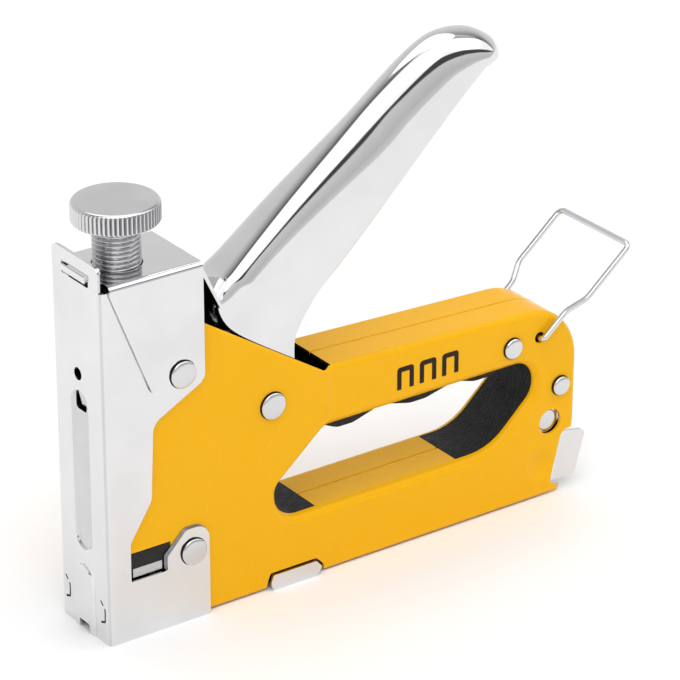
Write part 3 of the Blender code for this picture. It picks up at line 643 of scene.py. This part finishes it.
def front_sheet():
    """The nose's folded sheet: two walls and the front between them, before its outline is cut."""
    half, bend = NOSE_HALF_WIDTH, NOSE_BEND
    across = [(38.0, -half), (20.0, -half), (6.0, -half)]
    corner = (bend, -half + bend)
    for k in range(9):
        turn = k / 8 * math.pi / 2
        across.append((corner[0] - bend * math.sin(turn), corner[1] - bend * math.cos(turn)))
    flat = half - bend
    steps = 52
    across += [(0.0, -flat + 2 * flat * k / steps) for k in range(1, steps)]
    across += [(x, -y) for x, y in reversed(across[:12])]
    # rows lie close together at the arch and at the groove's two ends
    heights = [-0.5]
    for start, step, count in ((0.0, 0.45, 80), (36.0, 2.0, 17), (70.0, 0.5, 25), (83.0, 4.0, 9)):
        heights += [start + k * step for k in range(count)]
    heights.append(NOSE_WALL_TOP)
    points = []
    for z in heights:
        for x, y in across:
            on_front = x <= 0.001
            points.append((x - (plate_relief(y, z) if on_front else 0.0), y, z))
    sheet = new_object("nose_skin", points, grid_faces(len(heights), len(across)))
    thick = sheet.modifiers.new("sheet", "SOLIDIFY")
    thick.thickness = NOSE_SHEET * MM
    thick.offset = -1.0
    return sheet


def lance_marks():
    """Cutters for the two lanced tabs beside the arch, each a slit open towards +Y."""
    cutters = []
    for middle in (-9.9, 9.9):
        route = [(middle + 1.2, 13.9), (middle - 0.1, 12.6), (middle - 1.0, 12.0), (middle - 1.2, 10.4),
                 (middle - 1.0, 7.4), (middle + 1.2, 6.6)]
        for i, (start, end) in enumerate(zip(route, route[1:])):
            if i == 1:                  # the tab stays joined to the sheet here
                continue
            start, end = Vector(start), Vector(end)
            off = (end - start).normalized().orthogonal() * 0.34
            quad = [start + off, end + off, end - off, start - off]
            area = sum(a.x * b.y - a.y * b.x for a, b in zip(quad, quad[1:] + quad[:1]))
            quad = quad if area > 0 else quad[::-1]
            cutters.append(slab(f"slit_{i}", [(p.x, p.y, 0) for p in quad], -1.5, 2.0, "X"))
    return cutters


def front_housing():
    """The chromed nose: its folded sheet, the plate top with its hem, and the groove's lip."""
    sheet = front_sheet()
    if sheet.data.polygons[0].normal.y > 0:
        sheet.data.flip_normals()
    apply_modifiers(sheet)
    carve(sheet, [slab("nose_side", NOSE_OUTLINE, -20, 20)], "INTERSECT")
    exit_notch = [(-2.8, -1, 0), (2.8, -1, 0), (2.8, 3.0, 0.5), (-2.8, 3.0, 0.5)]
    open_end = [(-2.9, 73.2, 1.2), (2.9, 73.2, 1.2), (2.9, 79.6, 2.8), (-2.9, 79.6, 2.8)]
    cutters = [slab("staple_exit", exit_notch, -3, 3, "X"), slab("groove_window", open_end, -3, 3, "X"),
               rod("peep_hole", (0, 85.3), 2.0, -3, 3, "X", 32)]
    wide, foot, head = SLOT
    slot = [(-wide, foot, 0.8), (wide, foot, 0.8), (wide, head, 0.8), (-wide, head, 0.8)]
    cutters.append(slab("tongue_slot", slot, -3, 3, "X"))
    carve(sheet, cutters + lance_marks())
    low = NOSE_WALL_TOP + 0.005
    plate = [(-PLATE_HALF_WIDTH, low, 0.02), (PLATE_HALF_WIDTH, low, 0.02),
             (PLATE_HALF_WIDTH, PLATE_TOP, 2.4), (-PLATE_HALF_WIDTH, PLATE_TOP, 2.4)]
    top = slab("plate_top", plate, 0.0, NOSE_SHEET, "X")
    hem_half, hem_foot, hem_top = 11.9, 120.9, PLATE_TOP - 0.2
    hem = [(-hem_half, hem_foot, 0.4), (hem_half, hem_foot, 0.4),
           (hem_half, hem_top, 1.8), (-hem_half, hem_top, 1.8)]
    folded = slab("plate_hem", hem, NOSE_SHEET + 0.08, 2 * NOSE_SHEET, "X", (0.1, 0.3))
    carve(top, [slab("tongue_slot", slot, -3, 3, "X")])
    baffle = [(0.5, 80.6, 0.02), (0.5, 79.8, 0.02), (1.7, 74.6, 0.02), (2.1, 74.9, 0.02), (1.2, 80.6, 0.02)]
    merge(sheet, top, folded, slab("groove_lip", baffle, -3.4, 0.9))

    # The groove and the front bends take the darker chrome: painted shade in the recess, a painted dark
    # reflection on the bends.
    def in_painted_shade(x, y, z):
        in_groove = abs(y) < GROOVE[2] and GROOVE[0] < z < GROOVE[1] and 0.3 < x < 1.5
        on_bend = 0.15 < x < 0.7 and abs(y) > 12.5
        return in_groove or on_bend

    second_finish(sheet, PAINTS["chrome_plate"], SHADED_CHROME, in_painted_shade)
    fit_out(sheet, "chrome_plate", "root", ["front_housing"])


def top_cap():
    """The cap: a folded sheet with a tongue in front and a thin flap behind."""
    half, top, bend, sheet = CAP_HALF_WIDTH, CAP_TOP, 2.0, NOSE_SHEET
    outer = [(-half, 76, 0), (half, 76, 0), (half, top, bend), (-half, top, bend)]
    inner = [(-half + sheet, 70, 0), (half - sheet, 70, 0),
             (half - sheet, top - sheet, bend - sheet), (-half + sheet, top - sheet, bend - sheet)]
    cap = slab("cap_skin", outer, 2.0, 36.0, "X")
    carve(cap, [slab("cap_space", inner, 0.0, 40.0, "X")])
    carve(cap, [slab("cap_side", CAP_OUTLINE, -20, 20)], "INTERSECT")
    carve(cap, [rod("screw_hole", (STRIKER_X, 0), SHANK_RADIUS + GAP, 100, 125, "Z", 48)])
    under = top - sheet
    flap = [(33.4, under + 0.05, 0.3), (41.8, 99.4, 0.35), (42.6, 99.9, 0.35), (34.6, top - 0.05, 0.6)]
    flap_plate = slab("cap_flap", flap, -12.4, 12.4, "Y", (0.2, 0.2))
    tongue = [(-PROUD, under, 0.35), (3.4, under, 0.05), (3.4, top, 0.05), (-GAP, top, 0.1),
              (-GAP, 118.5, 0.2), (-PROUD, 118.5, 0.2)]
    tongue_plate = slab("cap_tongue", tongue, -6.6, 6.6, "Y", (0.5, 0.5))
    merge(cap, flap_plate, tongue_plate)
    fit_out(cap, "chrome_plate", "root", ["top_cap"])


def shadow_sheets():
    """Thin dark sheets of painted shadow that show as a line round the cap's flap and the nose's riveted
    ear.
    """
    ear = [(20.1, 19.8, 0.5), (35.7, 19.8, 0.3), (35.7, 31.3, 4.8), (27.3, 31.5, 2.6), (20.1, 24.4, 0.8)]
    flap = [(4.0, 114.4, 1.0), (16.2, 79.3, 3.0), (34.5, 79.2, 2.6), (34.5, 114.4, 0.6)]
    sheets = (("ear_shadow_sheet", ear, 12.42, 12.72), ("flap_shadow_sheet", flap, 13.57, 13.73))
    for name, outline, low, high in sheets:
        near, far = slab(name, outline, -high, -low), slab(name + "_far", outline, low, high)
        # The dark sheets stand for the shade in the gaps under the flap and behind the ear.
        fit_out(merge(near, far), "hardened_steel", "root")


def grip_liner():
    liner = slab("liner_skin", LINER_OUTLINE, -LINER_HALF_WIDTH, LINER_HALF_WIDTH, "Y", (0.2, 0.2))
    fit_out(liner, "black_rubber", "root", ["grip_liner"], 40)


def rivet(node, centre, shaft, head, seat):
    """A riveted pin with a low dome on each side, standing a little off a dark disc of painted shadow."""
    rise, lift = 1.5, 0.75
    profile = [(0.0, seat + rise)]
    for k in range(1, 9):
        turn = math.radians(10 * k)
        profile.append((0.97 * head * math.sin(turn), seat + lift + (rise - lift) * math.cos(turn)))
    edge = seat + lift
    profile += [(head, edge - 0.05), (head, edge - 0.25), (head - 0.3, edge - 0.35), (shaft, seat)]
    profile += [(r, -h) for r, h in reversed(profile)]
    fit_out(turned(node + "_head", profile, centre, "Y", 40), "rivet_steel", "root", [node], 40)
    # The dark disc is painted shadow: the shaded gap round each dome's rim.
    wide, over, under = head + 0.25, seat + 0.12, seat - 0.25
    shadow_disc = [(0.0, over), (head + 0.1, over), (wide, seat), (wide, under), (0.0, under)]
    near = turned(node + "_burr", shadow_disc, centre, "Y", 40)
    far = turned(node + "_burr_far", [(r, -h) for r, h in shadow_disc], centre, "Y", 40)
    pair = merge(near, far)
    pair.data.materials.append(DARK_SHADE)
    fit_out(pair, "rivet_steel", "root", (), 40)


def rivets():
    """The five rivets, each on its own thickness of sheet."""
    on_body = SHELL_HALF_WIDTH + 0.2
    rivet("cap_rivet", CAP_RIVET, RIVET_SHAFT, 4.3, CAP_HALF_WIDTH + 0.1)
    rivet("nose_rivet", NOSE_RIVET, RIVET_SHAFT, 4.3, NOSE_HALF_WIDTH + 0.1)
    rivet("lever_pivot_rivet", LEVER_PIVOT, PIVOT_SHAFT, 4.3, on_body)
    rivet("rear_top_rivet", REAR_TOP_RIVET, RIVET_SHAFT, 3.4, on_body - ARM_STEP)
    rivet("rear_mid_rivet", REAR_MID_RIVET, RIVET_SHAFT, 3.2, on_body - 0.3)


def staple_mark():
    """Three small staples printed on the grip arm, as a plain sign of what the tool drives."""
    face = SHELL_HALF_WIDTH - ARM_STEP
    first, foot = MARK_FOOT
    pitch, wide, tall, stroke = 8.6, 6.4, 7.6, 1.7
    for name, side in (("left_mark", -1), ("right_mark", 1)):
        printed = []
        for i in range(3):
            x = first + pitch * i
            legs = [(x, foot, 0.2), (x + stroke, foot, 0.2), (x + stroke, foot + tall - stroke, 0.3),
                    (x + wide - stroke, foot + tall - stroke, 0.3), (x + wide - stroke, foot, 0.2),
                    (x + wide, foot, 0.2), (x + wide, foot + tall, 1.2), (x, foot + tall, 1.2)]
            low, high = sorted((side * (face - 0.05), side * (face + 0.04)))
            printed.append(slab(f"{name}_{i}", legs, low, high))
        mark = merge(*printed)
        mark.name = name
        mark.data.materials.append(MARK_PAINT)
        fit_out(mark, "black_plastic", "root")


# ---------------------------------------------------------------- adjuster and springs

def knurled_knob():
    """The knob: a straight knurl between two rounded shoulders, with painted shade in its valleys."""
    sides = KNURLS * len(KNURL_DIPS)
    rows = []
    shoulder = 1.3
    rim = [(0.0, 0.0, 0.0), (9.0, 0.0, 0.0)]
    for k in range(9):
        turn = math.radians(90) * k / 8
        across, down = math.sin(turn), 1 - math.cos(turn)
        rim.append((KNOB_RADIUS - shoulder * (1 - across), shoulder * down, smooth_step(k, 4, 8)))
    profile = [(r, KNOB_HIGH - down, knurl) for r, down, knurl in rim]
    profile += [(KNOB_RADIUS, (KNOB_LOW + KNOB_HIGH) / 2, 1.0)]
    profile += [(r, KNOB_LOW + down * 0.7, knurl) for r, down, knurl in reversed(rim[3:])]
    profile += [(11.0, KNOB_LOW, 0.0), (SHANK_RADIUS - 0.2, KNOB_LOW, 0.0)]
    for radius, z, knurl in profile:
        row = []
        for j in range(sides):
            angle = 2 * math.pi * j / sides
            reach = radius - knurl * KNURL_DEPTH * KNURL_DIPS[j % len(KNURL_DIPS)]
            row.append((STRIKER_X + reach * math.cos(angle), reach * math.sin(angle), z))
        rows.append(row)
    points = [p for row in rows for p in row]
    head = new_object("knob_skin", points, grid_faces(len(rows), sides, wrap=True))

    # Faces in the knurl's valleys, which take the painted shade.
    def in_valley(x, y, z):
        tooth = math.atan2(y, x - STRIKER_X) / (2 * math.pi) * KNURLS % 1.0
        radius = math.hypot(x - STRIKER_X, y)
        return tooth > 0.58 and radius > 12.3 and KNOB_LOW + 0.5 < z < KNOB_HIGH - 0.6

    second_finish(head, PAINTS["rivet_steel"], VALLEY_SHADE, in_valley)
    return head


def threaded_shank():
    """The shank under the knob, with its thread fading out at the lower end."""
    sides, fine = 48, 10
    count = int((KNOB_LOW - SHANK_LOW) / THREAD_PITCH * fine)
    rows = [[(0.0, SHANK_LOW)] * sides]
    for i in range(count + 1):
        z = SHANK_LOW + (KNOB_LOW + 0.3 - SHANK_LOW) * i / count
        row = []
        for j in range(sides):
            phase = (z / THREAD_PITCH - j / sides) % 1.0
            crest = min(1.0, max(0.0, 1.45 - 2.9 * abs(phase - 0.5)))
            end = smooth_step(z, SHANK_LOW, SHANK_LOW + 1.2)
            row.append((SHANK_RADIUS - THREAD_DEPTH + THREAD_DEPTH * crest * end, z))
        rows.append(row)
    rows.append([(0.0, KNOB_LOW + 0.3)] * sides)
    points = []
    for row in rows:
        for j, (radius, z) in enumerate(row):
            angle = 2 * math.pi * j / sides
            points.append((STRIKER_X + radius * math.cos(angle), radius * math.sin(angle), z))
    return new_object("shank_skin", points, grid_faces(len(rows), sides, wrap=True))


def adjusting_knob():
    """The knurled head and the threaded shank, both in place of the one CAD knob."""
    fit_out(knurled_knob(), "rivet_steel", "knob", ["adjusting_knob"], 50)
    shank = threaded_shank()
    # The shank takes the darker plating: painted shade under the knob.
    shank.data.materials.append(SHANK_SHADE)
    fit_out(shank, "rivet_steel", "knob", ["adjusting_knob"], 50)


def helix(centre, axis, radius, low, high, turns, closed_turns=1.0, steps=20):
    """Points of a compression spring whose end turns lie closer together."""
    points = []
    total = turns * steps
    for i in range(total + 1):
        turn = i / steps
        ease = min(turn, turns - turn) / closed_turns
        share = turn / turns
        if ease < 1:
            share += (0.5 - 0.5 * ease) * (0.5 / turns) * (1 if turn > turns / 2 else -1) * min(ease, 1)
        height = low + (high - low) * share
        angle = 2 * math.pi * turn
        u, v = radius * math.cos(angle), radius * math.sin(angle)
        if axis == "Z":
            points.append((centre[0] + u, centre[1] + v, height))
        else:
            points.append((height, centre[0] + u, centre[1] + v))
    return points


def main_spring():
    """The main spring, which shortens as the striker lifts."""
    low, high = SPRING_HEIGHTS
    coil_radius, thin = 6.4, 1.0
    path = helix((STRIKER_X, 0), "Z", coil_radius, low + thin, high - thin, 7)
    coil = wire("main_spring_coil", path, thin)
    fit_out(coil, "spring_steel", "root", ["main_spring"], 60)
    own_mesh(coil)


def follower_spring():
    """The long thin spring behind the staples, which shortens as the follower goes back."""
    low, high = FOLLOWER_RUN
    path = helix((0, FOLLOWER_Z), "X", 2.35, low + GAP, high - GAP, 44, steps=14)
    coil = wire("follower_spring_coil", path, 0.28, 6)
    fit_out(coil, "spring_steel", "drawer", ["follower_spring"], 60)
    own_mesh(coil)


def return_spring():
    """The torsion spring round the lever's pivot, with a leg at each end."""
    start, pitch = 3.1, 1.15
    points = [(52.0, start, 49.0), (53.6, start, 54.6)]
    turns, steps, radius = 3, 24, 4.6
    for i in range(turns * steps + 1):
        angle = math.radians(200) + 2 * math.pi * i / steps
        points.append((LEVER_PIVOT[0] + radius * math.cos(angle), start + pitch * i / steps,
                       LEVER_PIVOT[1] + radius * math.sin(angle)))
    points.append((51.5, points[-1][1], 66.0))
    coil = wire("return_spring_coil", points, 0.5, 10)
    fit_out(coil, "spring_steel", "root", ["lever_return_spring"], 60)


# ---------------------------------------------------------------- lever

def between(rows, where):
    """Catmull-Rom value between rows of numbers."""
    i = min(int(where), len(rows) - 2)
    t = where - i
    around = [rows[max(i - 1, 0)], rows[i], rows[i + 1], rows[min(i + 2, len(rows) - 1)]]
    out = []
    for a, b, c, d in zip(*around):
        out.append(b + 0.5 * t * (c - a + t * (2 * a - 5 * b + 4 * c - d + t * (3 * (b - c) + d - a))))
    return out


def lever_grid(inset, fine=6, columns=48):
    """Rows of points across the lever's sheet, moved in from its outer face by inset."""
    tip = (LEVER_TIP[0] - inset, LEVER_TIP[1], LEVER_TIP[0] - inset, LEVER_TIP[1], 0.0, 74)
    rungs = LEVER_RUNGS + [tip]
    rows = []
    for k in range((len(rungs) - 1) * fine + 1):
        back_x, back_z, under_x, under_z, half_width, curl = between(rungs, k / fine)
        back, under = Vector((back_x, back_z)), Vector((under_x, under_z))
        roundness = smooth_step(k / fine, 4.2, 8.6)
        power = 2 / (CHEEK_SQUARENESS + (HANDLE_SQUARENESS - CHEEK_SQUARENESS) * roundness)
        down = (under - back).normalized() if (under - back).length > 0.01 else Vector((0, -1))
        hem = max(curl, HEM_CURL * smooth_step(k / fine, 4.5, 7.5))
        lift = math.sin(math.radians(hem)) ** power - math.sin(math.radians(max(curl, 0))) ** power
        under = under - down * LEVER_BELLY * max(lift, 0.0) * 0.85
        width = max(half_width - inset, 0.0)
        turn = math.radians(hem)
        row = []
        for j in range(columns + 1):
            angle = (math.pi + 2 * turn) * j / columns - turn
            across = math.copysign(abs(math.cos(angle)) ** power, math.cos(angle))
            along = abs(math.sin(angle)) ** power
            if angle < 0 or angle > math.pi:
                place = under + down * along * min(LEVER_BELLY - inset, (under - back).length * 0.3)
            else:
                place = under.lerp(back + down * min(inset, (under - back).length / 2), along)
            row.append((place.x, width * across, place.y))
        rows.append(row)
    return rows


def lever_handle():
    """The squeeze lever: one sheet bent over the back, open below, with its pivot and pin holes."""
    outer, inner = lever_grid(0.0), lever_grid(LEVER_SHEET)
    rows, columns = len(outer), len(outer[0])
    points = [p for grid in (outer, inner) for row in grid for p in row]
    start = rows * columns
    faces = grid_faces(rows, columns) + grid_faces(rows, columns, start=start)
    for j in (0, columns - 1):
        for i in range(rows - 1):
            a = i * columns + j
            faces.append((a, a + columns, start + a + columns, start + a))
    for j in range(columns - 1):
        faces.append((j, j + 1, start + j + 1, start + j))
    handle = new_object("lever_skin", points, faces)
    carve(handle, [block("lever_mouth", (38, 57.5), (-9.25, 9.25), (45, 90)),
                   rod("lever_pivot_hole", LEVER_PIVOT, PIVOT_SHAFT + GAP, -20, 20, sides=24),
                   rod("arm_pin_hole", (60.5, 75.0), 2.0 + GAP, -20, 20, sides=24)])
    fit_out(handle, "chrome_plate", "lever", ["lever_handle"], 40)


# ---------------------------------------------------------------- bail and catch

def wire_bail():
    """The wire bail: in at each shell's hole, out past the lever, and across behind it."""
    along = Vector((math.cos(BAIL_LEAN), 0, math.sin(BAIL_LEAN)))
    foot = Vector((BAIL_HOLE[0], 0, BAIL_HOLE[1]))
    near, wide = SHELL_HALF_WIDTH + BAIL_WIRE + GAP, BAIL_HALF_WIDTH

    def spot(distance, y):
        return tuple(foot + along * distance + Vector((0, y, 0)))

    half = [(*spot(0, 9.0), 0), (*spot(0, near), 1.4), (*spot(11.6, near), 6.0), (*spot(18.4, wide), 6.0),
            (*spot(BAIL_LENGTH, wide), 2.2)]
    other = [(x, -y, z, r) for x, y, z, r in reversed(half)]
    points = filleted(half + other, math.radians(7), closed=False)
    fit_out(wire("bail_wire", points, BAIL_WIRE, 16), "rivet_steel", "bail", ["wire_bail"], 60)


def catch_buttons():
    """The shallow dome of each catch button, seen through the shell's hole."""
    radius, rise = CATCH_DOME
    for body, side in (("left_catch", -1), ("right_catch", 1)):
        face = side * CATCH_FACE
        profile = [(0.0, face - side * 0.3), (radius, face - side * 0.3)]
        for k in range(7):
            turn = math.radians(15 * k)
            profile.append((radius * math.cos(turn), face + side * rise * math.sin(turn)))
        fit_out(turned(body + "_button", profile, CATCH_BUTTON, "Y", 40), "rivet_steel", body, (), 50)


def soften(node, width):
    """Rounds a CAD piece's edges and paints it with the finish of its slot."""
    obj = frame["nodes"][node]
    slot = next(s["material_slot"] for s in frame["record"]["subparts"] if s["node"] == node)
    obj.data.materials.clear()
    obj.data.materials.append(PAINTS[slot])
    obj.data.shade_smooth()
    obj.data.set_sharp_from_angle(angle=math.radians(32))
    bevel = obj.modifiers.new("rounded", "BEVEL")
    bevel.width = width * MM
    bevel.segments = 2
    bevel.limit_method = "ANGLE"
    bevel.angle_limit = math.radians(38)
    bevel.harden_normals = True


def cad_pieces():
    """The pieces that keep their CAD shape, each with the width its edges are rounded by."""
    widths = {
        "magazine_channel": 0.2, "guide_block": 0.35, "magazine_lock_plate": 0.25,
        "nose_guide_plate": 0.15, "plunger_bumper": 0.6, "plunger": 0.3, "driver_blade": 0.12,
        "adjuster_nut": 0.5, "striker_arm": 0.3, "arm_pin": 0.25, "spring_seat": 0.25,
        "staple_rail": 0.12, "rail_end_block": 0.5, "staple_follower": 0.2, "follower_guide_rod": 0.2,
        "left_catch_arm": 0.25, "right_catch_arm": 0.25, "cap_sleeve": 0.2, "nose_sleeve": 0.2,
        "rear_top_sleeve": 0.2, "rear_mid_sleeve": 0.2,
    }
    for node, width in widths.items():
        soften(node, width)


# ---------------------------------------------------------------- stage

def floor():
    """A plain pale floor, wide enough to fill the view."""
    mesh = bpy.data.meshes.new("floor")
    far = 6.0
    corners = [(-far, -far, 0), (far, -far, 0), (far, far, 0), (-far, far, 0)]
    mesh.from_pydata(corners, [], [(0, 1, 2, 3)])
    obj = bpy.data.objects.new("floor", mesh)
    paint = bpy.data.materials.new("floor_paint")
    paint.use_nodes = True
    shader = paint.node_tree.nodes["Principled BSDF"]
    shader.inputs["Base Color"].default_value = (0.93, 0.93, 0.93, 1)
    shader.inputs["Roughness"].default_value = 0.9
    mesh.materials.append(paint)
    bpy.context.scene.collection.objects.link(obj)


# The studio over the part, by the angle from the front horizon over the top to the back horizon:
# degrees and brightness. The dark strips are what polished plating shows as streaks.
STUDIO = [
    (0, 0.75), (6, 0.62), (24, 0.76), (25, 0.07), (37, 0.07), (38, 1.25),
    (86, 1.2), (87, 0.06), (104, 0.32), (135, 0.72), (180, 0.88),
]
# Soft suns: name, the way towards it, strength and apparent size in degrees
SUNS = [
    ("key", (-0.45, -0.75, 0.95), 0.66, 50),
    ("fill", (0.5, -0.35, 1.0), 0.3, 60),
    ("top", (0.1, 0.3, 1.0), 0.72, 50),
]


def arithmetic(tree, operation, first, second):
    """The output of a math node on a socket and a second value, which is a socket or a number."""
    node = tree.nodes.new("ShaderNodeMath")
    node.operation = operation
    tree.links.new(first, node.inputs[0])
    if isinstance(second, float):
        node.inputs[1].default_value = second
    else:
        tree.links.new(second, node.inputs[1])
    return node.outputs["Value"]


def studio():
    """The world's strips of light by angle, the suns and the floor."""
    world = bpy.data.worlds.new("studio")
    world.use_nodes = True
    tree = world.node_tree
    way = tree.nodes.new("ShaderNodeSeparateXYZ")
    coordinates = tree.nodes.new("ShaderNodeTexCoord")
    tree.links.new(coordinates.outputs["Generated"], way.inputs["Vector"])
    front = arithmetic(tree, "MULTIPLY", way.outputs["Y"], -1.0)
    up = arithmetic(tree, "MAXIMUM", way.outputs["Z"], 0.0)
    share = arithmetic(tree, "DIVIDE", arithmetic(tree, "ARCTAN2", up, front), math.pi)
    ramp = tree.nodes.new("ShaderNodeValToRGB")
    stops = ramp.color_ramp.elements
    while len(stops) < len(STUDIO):
        stops.new(0.5)
    for stop, (degrees, bright) in zip(stops, STUDIO):
        stop.position = degrees / 180
        stop.color = (bright, bright, bright, 1)
    tree.links.new(share, ramp.inputs["Fac"])
    tree.links.new(ramp.outputs["Color"], tree.nodes["Background"].inputs["Color"])
    tree.nodes["Background"].inputs["Strength"].default_value = 1.0
    bpy.context.scene.world = world
    for name, way_to, strength, wide in SUNS:
        data = bpy.data.lights.new(name, "SUN")
        data.energy = strength
        data.angle = math.radians(wide)
        lamp = bpy.data.objects.new(name, data)
        lamp.rotation_euler = Vector(way_to).to_track_quat("Z", "Y").to_euler()
        bpy.context.scene.collection.objects.link(lamp)
    floor()


def camera():
    """The photograph's side: from the left and above, with a long lens."""
    data = bpy.data.cameras.new("camera")
    data.lens = 191.14
    data.sensor_width = 36.0
    data.clip_end = 20
    obj = bpy.data.objects.new("camera", data)
    obj.location = at(-483.23, -813.10, 543.79)
    obj.rotation_euler = (math.radians(64.6), 0, math.radians(-35.34))
    bpy.context.scene.collection.objects.link(obj)
    bpy.context.scene.camera = obj


camera()
studio()
bpy.context.scene.view_settings.view_transform = "Standard"
body_shells()
front_housing()
top_cap()
shadow_sheets()
grip_liner()
rivets()
staple_mark()
adjusting_knob()
main_spring()
follower_spring()
return_spring()
lever_handle()
wire_bail()
catch_buttons()
cad_pieces()
